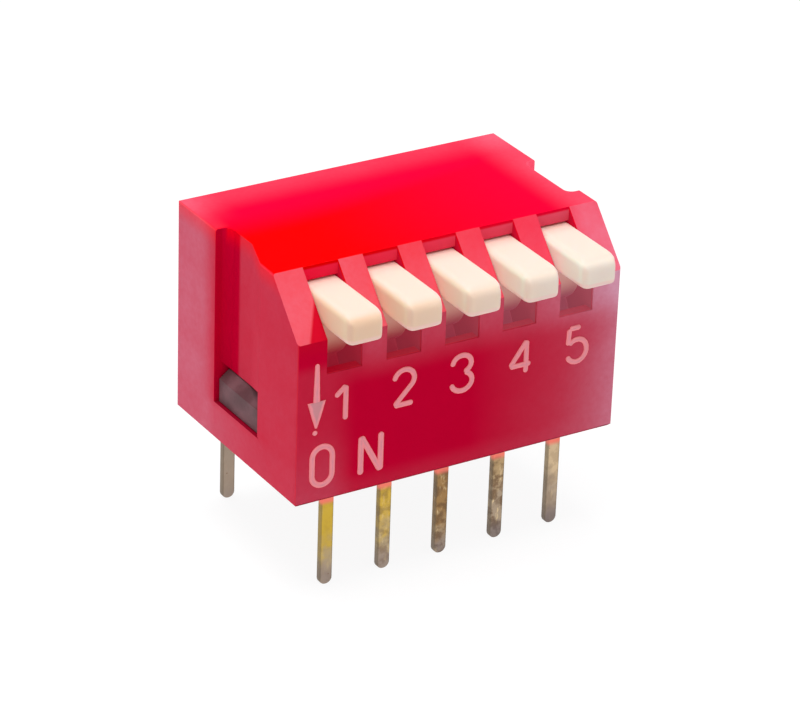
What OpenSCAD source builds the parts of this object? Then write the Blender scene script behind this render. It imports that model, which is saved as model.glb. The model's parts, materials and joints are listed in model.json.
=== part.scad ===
// Piano-type DIP switch: a red cover snapped over a black base, with one rocking
// lever, one leaf contact and two solder terminals for each switch in the row.
// Millimetres. +Z is up, X runs along the row with switch 1 at -X, and the levers
// stand out towards -Y. The origin is the centre of the terminal pattern, on the
// plane where the cover sits on the circuit board.

/* [Row] */
// Number of switches in the row
ways = 5; // [2:1:5]
// Distance from one switch to the next, a standard one
pitch = 2.54; // [2.54]
// Distance between the two rows of terminals, a standard one
row_spacing = 7.62; // [7.62]

/* [Cover] */
// Cover beyond the outermost switches' own pitch, at each end
end_margin = 0.72; // [0.6:0.02:0.9]
// Front to back
cover_depth = 9.24; // [9:0.02:9.5]
// Height above the board
cover_height = 8.8; // [8.6:0.05:8.9]
// Front face ahead of the front row of terminals
front_overhang = 1.07; // [0.95:0.02:1.11]
// How far back the sloped front corner goes
slope_depth = 1.93; // [1.85:0.02:2.01]
// How far down the sloped front corner goes
slope_drop = 2.1; // [1.9:0.1:2.2]
// Rounding of the upright corners
corner_radius = 0.12; // [0.1:0.02:0.3]
// Rounding of the top's edges
edge_radius = 0.1; // [0.06:0.02:0.2]
// Bevel round the bottom edge
bottom_bevel = 0.12; // [0.05:0.01:0.15]

/* [Lever slots] */
// Width of each slot
slot_width = 1.5; // [1.48:0.01:1.54]
// Height of the sill that ends each slot, above the board
sill_height = 5.28; // [5.1:0.02:5.4]

/* [Levers] */
// Width of each lever
lever_width = 1.44; // [1.38:0.01:1.44]
// Thickness of the nose that the finger moves
nose_thickness = 1.15; // [1:0.05:1.2]
// How far the nose stands out in front of the cover
nose_reach = 1.44; // [1.2:0.02:1.6]
// Rounding of the nose's upper front edge, where a finger presses
nose_radius = 0.5; // [0.3:0.02:0.6]
// How far a lever swings down from OFF to ON, in degrees
lever_throw = 30; // [28:1:31]

/* [Side catches] */
// Depth of the hollow in each end of the cover
catch_depth = 0.58; // [0.5:0.02:0.6]
// Width of that hollow, front to back
catch_width = 3.22; // [2.7:0.02:3.3]
// Height of the strap that the base's catch holds under
strap_height = 1.6; // [1.4:0.05:1.7]

/* [Terminals] */
// Width of a blade, along the row
blade_width = 0.54; // [0.46:0.01:0.56]
// Thickness of the strip that the terminals are cut from
blade_thickness = 0.25; // [0.2:0.01:0.25]
// Length of a blade below the board plane
blade_length = 4.24; // [3:0.02:4.5]

/* [Marking] */
// Width of the lines in the numbers
number_line = 0.21; // [0.16:0.01:0.24]
// Width of the lines in the word and the arrow
word_line = 0.25; // [0.18:0.01:0.28]

/* [Hidden] */
$fn = 48;
past = 1;                  // how far a cutting shape runs past what it cuts

// The cover's faces
cover_length = ways * pitch + 2 * end_margin;
front_y = -row_spacing / 2 - front_overhang;
rear_y = front_y + cover_depth;
middle_y = (front_y + rear_y) / 2;
slope_top_y = front_y + slope_depth;
half_length = cover_length / 2;

// The cells inside it, one for each switch
front_wall = 0.5;
rear_wall = 0.6;
top_wall = 0.57;
cell_front_y = front_y + front_wall;
cell_rear_y = rear_y - rear_wall;
cell_top_z = cover_height - top_wall;

// The base and the pocket it fills
base_bottom_z = 0.35;
base_top_z = 2.45;
base_gap = 0.02;
pocket_half_length = half_length - catch_depth - 0.05;
pocket_rear_y = row_spacing / 2 + blade_thickness / 2 + 0.035;

// The hollows in the cover's ends, and the base's catches that show at their feet
hollow_radius = 0.35;
hollow_ramp = [1.5, 0.2];  // behind and ahead of the window's front edge, at -X only
catch_gap = 0.1;
catch_set_back = 0.16;
catch_inner = pocket_half_length - 0.35;
catch_shoulder_z = 2.58;
catch_top_z = 2.9;
window_top_z = 2.95;       // in the hollow's floor; from there it rises outwards at 45 degrees
catch_outer = half_length - catch_set_back;

// The levers, each turning on two stub axles
top_gap = 0.08;
drum_radius = 1.65;
pivot_y = slope_top_y + 0.65;
pivot_z = cell_top_z - top_gap - drum_radius;
axle_radius = 0.45;
axle_seat_radius = 0.5;
axle_length = 0.38;
axle_seat_depth = 0.42;
nose_top_z = pivot_z + drum_radius;
nose_low_z = nose_top_z - nose_thickness;
nose_tip_y = front_y - nose_reach;
nose_foot_radius = 0.14;   // lower front edge
nose_edge_radius = 0.07;   // upper long edges
nose_side_radius = 0.2;    // lower long edges
nose_upright_radius = 0.15;
cam_width = 1;
cam_radius = 0.35;
cam_reach = pivot_z - base_top_z - 0.46;

// The leaf contacts, each rocking on a bead rolled into the front edge of its foot
leaf_thickness = 0.12;
leaf_width = 0.9;
leaf_foot_y = [3.4, 2.6];
bead_radius = 0.14;
leaf_foot_z = base_top_z + 0.01;
leaf_bend_y = 2;
leaf_end_y = cell_front_y + 0.4;
cam_gap = 0.13;            // above the leaf, at OFF
cam_low_z = pivot_z - (cam_reach - cam_radius) * cos(lever_throw) - cam_radius;
leaf_rise = cam_low_z - cam_gap - leaf_thickness - leaf_foot_z;
leaf_dimple_y = -3.2;
leaf_dimple_radius = 0.15;

// The terminals
pad_width = 1;
blade_tip_radius = 0.48 * blade_width;
shoulder_z = 0.9;
pad_thickness = blade_thickness;
front_pad_y = -2.4;
rear_pad_y = 2.3;

// The posts on the base that close the axle seats from below
post_width = 2 * axle_seat_radius - 0.04;
post_gap = 0.02;

// The marking, printed on the front face
ink_thickness = 0.03;
number_base_z = 3.235;
word_half_height = 0.8;
word_z = 1.53;
word_half_width = 0.43;
arrow_x = -1.16;           // from switch 1
arrow_top_z = 5.81;
arrow_barb_z = 4.25;
arrow_tip_z = 3.15;
arrow_half_width = 0.38;
letter_x = [-0.86, 1.23];  // from switch 1

module_colours = [
    ["cover", [0.84, 0.02, 0.08]],
    ["base", [0.2, 0.18, 0.19]],
    ["lever", [0.95, 0.9, 0.82]],
    ["contact", [0.85, 0.68, 0.3]],
    ["terminal", [0.76, 0.64, 0.38]],
    ["marking", [1, 0.72, 0.74]],
];

// Middle of switch i
function switch_x(i) = (i - (ways + 1) / 2) * pitch;

function colour(name) = [for (c = module_colours) if (c[0] == name) c[1]][0];

// Points on an arc of an ellipse, from one angle to the other
function arc(centre, radii, from, to, steps = 12) = [
    for (k = [0:steps])
        let (a = from + (to - from) * k / steps)
        [centre[0] + radii[0] * cos(a), centre[1] + radii[1] * sin(a)]];

// Unit direction from point a to point b
function heading(a, b) = (b - a) / norm(b - a);

// Unit normal of a path at its point k
function normal(path, k) =
    let (a = path[max(k - 1, 0)])
    let (b = path[min(k + 1, len(path) - 1)])
    let (h = heading(a, b))
    [-h[1], h[0]];

// Outline of a band of constant width along a smooth path
function band(path, width) = concat(
    [for (k = [0:len(path) - 1]) path[k] - normal(path, k) * width / 2],
    [for (k = [len(path) - 1:-1:0]) path[k] + normal(path, k) * width / 2]);

// A flat profile drawn in Y and Z, made solid along X
module along_x(length) {
    rotate([90, 0, 90])
        linear_extrude(length, center = true)
            children();
}

// A flat profile drawn in X and Z, made solid along Y
module along_y(length) {
    rotate([90, 0, 0])
        linear_extrude(length, center = true)
            children();
}

// Rectangle between two corners, with all four corners rounded
module soft_rectangle(low, high, radius) {
    size = high - low;
    translate(low + [radius, 0]) square(size - [2 * radius, 0]);
    translate(low + [0, radius]) square(size - [0, 2 * radius]);
    for (x = [low[0] + radius, high[0] - radius], y = [low[1] + radius, high[1] - radius])
        translate([x, y]) circle(radius);
}

// What a rounding takes off a corner; inward points from the corner into the shape
module corner_waste(corner, inward, radius) {
    centre = corner + radius * inward;
    far = centre - (radius + past) * inward;
    difference() {
        translate([min(centre[0], far[0]), min(centre[1], far[1])]) square(radius + past);
        translate(centre) circle(radius);
    }
}

// Box between two corners
module box(low, high) {
    translate(low) cube(high - low);
}

// ---- Cover ----

// Side view of the cover: sloped front corner, bevelled foot
module cover_side_view() {
    difference() {
        polygon([
            [front_y + bottom_bevel, 0],
            [rear_y - bottom_bevel, 0],
            [rear_y, bottom_bevel],
            [rear_y, cover_height],
            [slope_top_y, cover_height],
            [front_y, cover_height - slope_drop],
            [front_y, bottom_bevel]]);
        corner_waste([rear_y, cover_height], [-1, -1], corner_radius);
    }
}

// Front view of the cover: rounded top edges, bevelled foot
module cover_front_view() {
    soft_rectangle(
        [-half_length, cover_height / 2],
        [half_length, cover_height],
        edge_radius);
    polygon([
        [-half_length + bottom_bevel, 0],
        [half_length - bottom_bevel, 0],
        [half_length, bottom_bevel],
        [half_length, cover_height - 2 * edge_radius],
        [-half_length, cover_height - 2 * edge_radius],
        [-half_length, bottom_bevel]]);
}

module cover_block() {
    intersection() {
        along_x(cover_length + past) cover_side_view();
        translate([0, middle_y, 0])
            along_y(cover_depth + past) cover_front_view();
        translate([0, 0, -past])
            linear_extrude(cover_height + 2 * past)
                soft_rectangle([-half_length, front_y], [half_length, rear_y], corner_radius);
    }
}

// One switch's cell, open to the slot in front and to the base's pocket below
module cell() {
    half = slot_width / 2;
    box([-half, cell_front_y, 0], [half, cell_rear_y, cell_top_z]);
    box([-half, front_y - past, sill_height], [half, cell_front_y + past, cell_top_z]);
    box([-half, front_y - past, sill_height], [half, slope_top_y, cover_height + past]);
}

// Upside-down U for the stub axles, through the wall between two cells
module axle_seat(from_x, to_x) {
    middle_x = (from_x + to_x) / 2;
    translate([middle_x, pivot_y, pivot_z]) {
        rotate([0, 90, 0])
            cylinder(r = axle_seat_radius, h = to_x - from_x, center = true);
        translate([-(to_x - from_x) / 2, -axle_seat_radius, -pivot_z])
            cube([to_x - from_x, 2 * axle_seat_radius, pivot_z]);
    }
}

module axle_seats() {
    inner = slot_width / 2;
    for (i = [1:ways - 1])
        axle_seat(switch_x(i) + inner - 0.01, switch_x(i + 1) - inner + 0.01);
    axle_seat(switch_x(1) - inner - axle_seat_depth, switch_x(1) - inner + 0.01);
    axle_seat(switch_x(ways) + inner - 0.01, switch_x(ways) + inner + axle_seat_depth);
}

// Hollow down the end of the cover, and the window below it where the catch shows;
// the front of the hollow is square, or a ramp out to the cover's face
module catch_hollow(ramp = [0, 0]) {
    low_y = middle_y - catch_width / 2;
    high_y = middle_y + catch_width / 2;
    floor_x = half_length - catch_depth;
    ramp_y = low_y + ramp[0];
    translate([0, 0, strap_height])
        linear_extrude(cover_height + past - strap_height) {
            soft_rectangle([floor_x, ramp_y], [half_length + past, high_y], hollow_radius);
            if (ramp[0] > 0)
                polygon([
                    [floor_x, ramp_y],
                    [half_length, low_y - ramp[1]],
                    [half_length + past, low_y - ramp[1]],
                    [half_length + past, ramp_y + hollow_radius],
                    [floor_x, ramp_y + hollow_radius]]);
        }
    translate([0, middle_y, 0])
        along_y(catch_width)
            polygon([
                [catch_inner - 0.05, strap_height],
                [half_length + past, strap_height],
                [half_length + past, window_top_z + catch_depth + past],
                [floor_x, window_top_z],
                [catch_inner - 0.05, window_top_z]]);
}

module cover() {
    color(colour("cover"))
        difference() {
            cover_block();
            box([-pocket_half_length, cell_front_y, -past],
                [pocket_half_length, pocket_rear_y, base_top_z + base_gap]);
            for (i = [1:ways])
                translate([switch_x(i), 0, 0]) cell();
            axle_seats();
            catch_hollow();
            mirror([1, 0, 0]) catch_hollow(hollow_ramp);
        }
}

// ---- Base ----

// Catch on one end of the base: a ramp on top, a square hook below
module catch_hook() {
    width = catch_width - 2 * catch_gap;
    translate([0, middle_y, 0])
        along_y(width)
            polygon([
                [catch_inner, base_bottom_z],
                [pocket_half_length - base_gap, base_bottom_z],
                [pocket_half_length - base_gap, strap_height + 0.03],
                [catch_outer, strap_height + 0.03],
                [catch_outer, catch_shoulder_z],
                [half_length - catch_depth, catch_top_z],
                [catch_inner, catch_top_z]]);
}

// Post that rises in the wall between two cells and holds the axles up in their seats
module axle_post(middle_x, thickness) {
    translate([middle_x, pivot_y, 0])
        difference() {
            box([-thickness / 2, -post_width / 2, base_bottom_z],
                [thickness / 2, post_width / 2, pivot_z]);
            translate([0, 0, pivot_z])
                rotate([0, 90, 0])
                    cylinder(r = axle_seat_radius, h = thickness + past, center = true);
        }
}

module axle_posts() {
    between = pitch - slot_width;
    for (i = [1:ways - 1])
        axle_post(switch_x(i) + pitch / 2, between - 2 * post_gap);
    end_x = slot_width / 2 + axle_seat_depth / 2;
    axle_post(switch_x(1) - end_x, axle_seat_depth - 2 * post_gap);
    axle_post(switch_x(ways) + end_x, axle_seat_depth - 2 * post_gap);
}

module base() {
    color(colour("base"))
        difference() {
            union() {
                box([-pocket_half_length + base_gap, cell_front_y + base_gap, base_bottom_z],
                    [pocket_half_length - base_gap, pocket_rear_y - base_gap, base_top_z]);
                catch_hook();
                mirror([1, 0, 0]) catch_hook();
                axle_posts();
            }
            for (i = [1:ways])
                translate([switch_x(i), 0, 0]) {
                    front_terminal_shape();
                    rear_terminal_shape();
                }
        }
}

// ---- Terminals ----

// Front view of a terminal: a blade with a rounded tip, wider where the base holds it
module terminal_front_view() {
    soft_rectangle(
        [-blade_width / 2, -blade_length],
        [blade_width / 2, base_top_z],
        blade_tip_radius);
    translate([-pad_width / 2, shoulder_z])
        square([pad_width, base_top_z - shoulder_z]);
}

// Side view of a terminal: a blade, bent over at the top into a flat pad
module terminal_side_view(blade_y, pad_end_y) {
    translate([blade_y - blade_thickness / 2, -blade_length])
        square([blade_thickness, blade_length + base_top_z]);
    pad_low_y = min(blade_y, pad_end_y);
    pad_high_y = max(blade_y, pad_end_y);
    translate([pad_low_y, base_top_z - pad_thickness])
        square([pad_high_y - pad_low_y, pad_thickness]);
}

module terminal_shape(blade_y, pad_end_y) {
    intersection() {
        along_x(pitch) terminal_side_view(blade_y, pad_end_y);
        along_y(2 * cover_depth) terminal_front_view();
    }
}

module front_terminal_shape() {
    terminal_shape(-row_spacing / 2, front_pad_y);
}

module rear_terminal_shape() {
    terminal_shape(row_spacing / 2, rear_pad_y);
}

module terminal_front(i) {
    color(colour("terminal"))
        translate([switch_x(i), 0, 0]) front_terminal_shape();
}

module terminal_rear(i) {
    color(colour("terminal"))
        translate([switch_x(i), 0, 0]) rear_terminal_shape();
}

// ---- Contacts ----

// Side view of a leaf contact: foot and bead on the rear pad, a rise, then a long flat
// leaf with a dimple that closes on the front pad
module leaf_side_view() {
    leaf_z = leaf_foot_z + leaf_rise;
    lower = [
        [leaf_end_y, leaf_z],
        [leaf_bend_y, leaf_z],
        [leaf_foot_y[1], leaf_foot_z],
        [leaf_foot_y[0], leaf_foot_z]];
    upper = [for (k = [3:-1:0]) lower[k] + [0, leaf_thickness]];
    polygon(concat(lower, upper));
    translate([leaf_foot_y[1], leaf_foot_z + bead_radius]) circle(bead_radius);
    intersection() {
        translate([leaf_dimple_y, leaf_z]) circle(leaf_dimple_radius);
        translate([leaf_end_y, leaf_foot_z])
            square([leaf_bend_y - leaf_end_y, leaf_rise + leaf_thickness]);
    }
}

module contact(i) {
    color(colour("contact"))
        translate([switch_x(i), 0, 0])
            along_x(leaf_width) leaf_side_view();
}

// ---- Levers ----

// Side view of the nose: flat along the top of the drum, rounded for the finger
module nose_side_view() {
    difference() {
        translate([nose_tip_y, nose_low_z])
            square([pivot_y - nose_tip_y, nose_thickness]);
        corner_waste([nose_tip_y, nose_top_z], [1, -1], nose_radius);
        corner_waste([nose_tip_y, nose_low_z], [1, 1], nose_foot_radius);
    }
}

module nose_front_view() {
    difference() {
        translate([-lever_width / 2, nose_low_z]) square([lever_width, nose_thickness]);
        for (side = [-1, 1]) {
            corner_waste([side * lever_width / 2, nose_top_z], [-side, -1], nose_edge_radius);
            corner_waste([side * lever_width / 2, nose_low_z], [-side, 1], nose_side_radius);
        }
    }
}

module nose() {
    low = [-lever_width / 2, nose_tip_y];
    high = [lever_width / 2, pivot_y + past];
    intersection() {
        along_x(lever_width) nose_side_view();
        translate([0, 0, nose_low_z - past])
            linear_extrude(nose_thickness + 2 * past)
                soft_rectangle(low, high, nose_upright_radius);
        translate([0, pivot_y, 0])
            along_y(2 * (pivot_y - nose_tip_y) + past) nose_front_view();
    }
}

// Cam that presses the leaf contact down, standing out from the drum
module cam() {
    translate([0, pivot_y, pivot_z])
        rotate([-lever_throw, 0, 0]) {
            tip_z = -cam_reach + cam_radius;
            translate([0, 0, tip_z])
                rotate([0, 90, 0])
                    cylinder(r = cam_radius, h = cam_width, center = true);
            box([-cam_width / 2, -cam_radius, tip_z], [cam_width / 2, cam_radius, 0]);
        }
}

module lever(i) {
    color(colour("lever"))
        translate([switch_x(i), 0, 0]) {
            nose();
            cam();
            translate([0, pivot_y, pivot_z])
                rotate([0, 90, 0]) {
                    cylinder(r = drum_radius, h = lever_width, center = true);
                    cylinder(r = axle_radius, h = lever_width + 2 * axle_length, center = true);
                }
        }
}

// ---- Marking ----

// The lines that make up each number, from 1 up
number_lines = [
    [[[0.08, 0], [0.08, 1.42]],
     [[-0.36, 1.03], [0.08, 1.42]]],
    [concat(arc([0.06, 1.06], [0.43, 0.41], 178, -38), [[-0.35, 0.03]]),
     [[-0.35, 0.03], [0.46, 0.03]]],
    [arc([0.03, 1.11], [0.41, 0.36], 185, -75),
     arc([0.05, 0.37], [0.45, 0.39], 75, -175)],
    [[[0.36, 1.43], [-0.35, 0.44]],
     [[-0.35, 0.44], [0.57, 0.44]],
     [[0.36, 1.43], [0.36, 0.08]]],
    [[[-0.25, 1.45], [0.25, 1.45]],
     [[-0.25, 1.45], [-0.29, 0.77]],
     arc([0.12, 0.47], [0.45, 0.48], 142, -158)],
];

// The lines of the letter N, about its middle
letter_n_lines = [
    [[-word_half_width, -word_half_height], [-word_half_width, word_half_height]],
    [[-word_half_width, word_half_height], [word_half_width, -word_half_height]],
    [[word_half_width, -word_half_height], [word_half_width, word_half_height]],
];

// A line with round ends
module ink_line(path, width) {
    polygon(band(path, width));
    for (end = [path[0], path[len(path) - 1]])
        translate(end) circle(d = width);
}

// What is drawn flat here is printed on the cover's front face
module on_front(x, z) {
    translate([x, front_y, z])
        rotate([90, 0, 0])
            linear_extrude(ink_thickness)
                children();
}

// Upright shape with straight sides and half-round ends, about its middle
module stadium(half_width, half_height) {
    straight = half_height - half_width;
    for (side = [-1, 1])
        translate([0, side * straight]) circle(half_width);
    square([2 * half_width, 2 * straight], center = true);
}

module letter_o() {
    half_line = word_line / 2;
    difference() {
        stadium(word_half_width + half_line, word_half_height + half_line);
        stadium(word_half_width - half_line, word_half_height - half_line);
    }
}

// Arrow pointing down to the word, with a small dot under its tip
module arrow() {
    ink_line([[0, arrow_top_z], [0, arrow_barb_z - 0.1]], word_line * 0.9);
    polygon([
        [-arrow_half_width, arrow_barb_z],
        [arrow_half_width, arrow_barb_z],
        [0.04, arrow_tip_z],
        [-0.04, arrow_tip_z]]);
}

module marking() {
    color(colour("marking")) {
        for (i = [1:ways])
            on_front(switch_x(i), number_base_z)
                for (path = number_lines[i - 1]) ink_line(path, number_line);
        on_front(switch_x(1) + arrow_x, 0) arrow();
        on_front(switch_x(1) + arrow_x - 0.07, arrow_tip_z - 0.18) circle(d = 0.15);
        on_front(switch_x(1) + letter_x[0], word_z) letter_o();
        on_front(switch_x(1) + letter_x[1], word_z)
            for (path = letter_n_lines) ink_line(path, word_line);
    }
}

// ---- The nodes ----

cover();
base();
marking();
for (i = [1:ways]) {
    lever(i);
    contact(i);
    terminal_front(i);
    terminal_rear(i);
}
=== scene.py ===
# A piano-type DIP switch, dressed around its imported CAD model.
import json
import math

import bmesh
import bpy
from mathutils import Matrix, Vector


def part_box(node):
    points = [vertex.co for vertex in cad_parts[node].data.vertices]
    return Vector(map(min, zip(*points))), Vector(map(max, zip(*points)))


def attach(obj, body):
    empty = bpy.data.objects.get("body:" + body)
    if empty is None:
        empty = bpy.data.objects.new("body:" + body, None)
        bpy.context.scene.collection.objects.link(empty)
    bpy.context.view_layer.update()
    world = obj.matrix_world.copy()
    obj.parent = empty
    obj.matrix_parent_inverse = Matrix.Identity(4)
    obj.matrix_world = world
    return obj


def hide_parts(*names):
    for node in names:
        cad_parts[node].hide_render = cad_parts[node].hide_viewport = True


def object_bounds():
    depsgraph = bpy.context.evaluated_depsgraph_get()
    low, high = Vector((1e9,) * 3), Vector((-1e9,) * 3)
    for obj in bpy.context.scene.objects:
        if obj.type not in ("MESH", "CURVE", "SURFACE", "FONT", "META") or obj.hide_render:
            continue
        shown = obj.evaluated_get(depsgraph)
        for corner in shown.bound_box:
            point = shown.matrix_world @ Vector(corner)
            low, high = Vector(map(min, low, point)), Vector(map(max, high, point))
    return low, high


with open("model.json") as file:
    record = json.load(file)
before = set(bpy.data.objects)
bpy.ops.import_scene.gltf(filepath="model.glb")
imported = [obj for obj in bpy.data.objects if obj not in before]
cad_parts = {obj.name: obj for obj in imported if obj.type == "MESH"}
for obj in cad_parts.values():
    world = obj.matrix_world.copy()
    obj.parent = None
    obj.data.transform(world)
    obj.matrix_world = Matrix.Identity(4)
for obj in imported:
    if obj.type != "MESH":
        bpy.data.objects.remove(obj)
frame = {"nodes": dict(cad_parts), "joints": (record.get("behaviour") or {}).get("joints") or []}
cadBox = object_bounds()
ways = sum(1 for name in frame["nodes"] if name.startswith("lever_"))
print("frame loaded:", len(frame["nodes"]), "nodes,", ways, "switches")

mm = 0.001
pitch = 2.54  # in millimetres, as every size below is


def switchX(number):
    return (number - (ways + 1) / 2) * pitch


class Wire:  # one output of a node, which Python's own operators can work on
    def __init__(self, net, socket):
        self.net, self.socket = net, socket

    def __add__(self, other):
        return self.net.maths("ADD", self, other)

    def __sub__(self, other):
        return self.net.maths("SUBTRACT", self, other)

    def __rsub__(self, other):
        return self.net.maths("SUBTRACT", other, self)

    def __mul__(self, other):
        return self.net.maths("MULTIPLY", self, other)

    def __truediv__(self, other):
        return self.net.maths("DIVIDE", self, other)

    def __pow__(self, other):
        return self.net.maths("POWER", self, other)

    def __gt__(self, other):
        return self.net.maths("GREATER_THAN", self, other)

    def __lt__(self, other):
        return self.net.maths("LESS_THAN", self, other)

    def __abs__(self):
        return self.net.maths("ABSOLUTE", self)

    __radd__ = __add__
    __rmul__ = __mul__

    def outlet(self, name):  # another output of the same node
        return Wire(self.net, self.socket.node.outputs[name])


class Net:  # a tree of shader or geometry nodes
    def __init__(self, tree):
        self.tree = tree
        tree.nodes.clear()

    def node(self, kind, settings=None, values=None, outlet=0):
        made = self.tree.nodes.new(kind)
        for key, value in (settings or {}).items():
            if key == "stops":
                while len(made.color_ramp.elements) < len(value):
                    made.color_ramp.elements.new(1)
                for stop, (place, colour) in zip(made.color_ramp.elements, value):
                    stop.position, stop.color = place, (*colour, 1)
            elif key == "stepped":
                made.color_ramp.interpolation = "CONSTANT"
            else:
                setattr(made, key, value)
        for key, value in (values or {}).items():
            for item in value if isinstance(value, list) else [value]:
                if isinstance(item, Wire):
                    self.tree.links.new(item.socket, made.inputs[key])
                else:
                    made.inputs[key].default_value = item
        return Wire(self, made.outputs[outlet]) if len(made.outputs) else made

    def maths(self, operation, a, b=0.0, clamp=False, c=0.0):
        return self.node("ShaderNodeMath", {"operation": operation, "use_clamp": clamp}, {0: a, 1: b, 2: c})

    def larger(self, a, b):
        return self.maths("MAXIMUM", a, b)

    def smaller(self, a, b):
        return self.maths("MINIMUM", a, b)

    def hypotenuse(self, a, b):
        return self.maths("SQRT", a * a + b * b)

    def line(self, value, slope, start):  # a straight ramp, held between 0 and 1
        return self.maths("MULTIPLY_ADD", value, slope, clamp=True, c=start)

    def fade(self, value, low, high, bottom=0.0, top=1.0):  # smooth from bottom at low to top at high
        return self.node("ShaderNodeMapRange", {"interpolation_type": "SMOOTHSTEP"},
                         {"Value": value, "From Min": low, "From Max": high,
                          "To Min": bottom, "To Max": top})

    def fades(self, places, steps):  # the product of fades, each given as a place's name and its limits
        return math.prod(self.fade(places[name], *limits) for name, *limits in steps)

    def vector(self, operation, a, b=(0, 0, 0)):
        return self.node("ShaderNodeVectorMath", {"operation": operation}, {0: a, 1: b})

    def scaled(self, a, factor):
        return self.node("ShaderNodeVectorMath", {"operation": "SCALE"}, {0: a, "Scale": factor})

    def combined(self, x=0.0, y=0.0, z=0.0):
        return self.node("ShaderNodeCombineXYZ", None, {0: x, 1: y, 2: z})

    def mix(self, share, a, b):  # of two colours
        a, b = ((*c, 1) if isinstance(c, tuple) else c for c in (a, b))
        return self.node("ShaderNodeMix", {"data_type": "RGBA"}, {0: share, 6: a, 7: b}, outlet=2)

    def axes(self, spot):
        apart = self.node("ShaderNodeSeparateXYZ", None, {0: spot})
        return apart, apart.outlet("Y"), apart.outlet("Z")

    def place(self):  # object coordinates in millimetres
        return self.scaled(self.node("ShaderNodeTexCoord", outlet="Object"), 1 / mm)

    def surface(self):  # places along the object's axes, and which way the surface faces
        spot = self.place()
        facing = self.node("ShaderNodeTexCoord", outlet="Normal")
        return spot, dict(zip(("x", "y", "z", "nx", "ny", "nz"), self.axes(spot) + self.axes(facing)))

    def noise(self, spot, scale, detail=3.0, roughness=0.5, seed=0.0):
        return self.node("ShaderNodeTexNoise", {"noise_dimensions": "4D"},
                         {"Vector": spot, "W": seed, "Scale": scale, "Detail": detail,
                          "Roughness": roughness})

    def speckle(self, spot, scale, size, seed=0.0):  # 1 inside scattered dots, 0 between them
        cells = self.node("ShaderNodeTexVoronoi", {"voronoi_dimensions": "4D"},
                          {"Vector": spot, "W": seed, "Scale": scale})
        return self.fade(cells, size, size * 0.5)

    def bump(self, height, strength, distance):
        return self.node("ShaderNodeBump", None,
                         {"Strength": strength, "Distance": distance * mm, "Height": height})

    def attribute(self, name):  # a number stored on the mesh
        return self.node("ShaderNodeAttribute", {"attribute_name": name}, outlet="Fac")


def newMaterial(name):
    material = bpy.data.materials.new(name)
    material.use_nodes = True
    return material, Net(material.node_tree)


def socketName(key):  # baseColor is the shader's Base Color
    return key[0].upper() + "".join(" " + c if c.isupper() else c for c in key[1:])


def finishMaterial(net, **sockets):
    shader = net.node("ShaderNodeBsdfPrincipled", None, {
        "Specular IOR Level" if key == "specularLevel" else socketName(key): value
        for key, value in sockets.items()})
    net.node("ShaderNodeOutputMaterial", None, {"Surface": shader})


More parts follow.
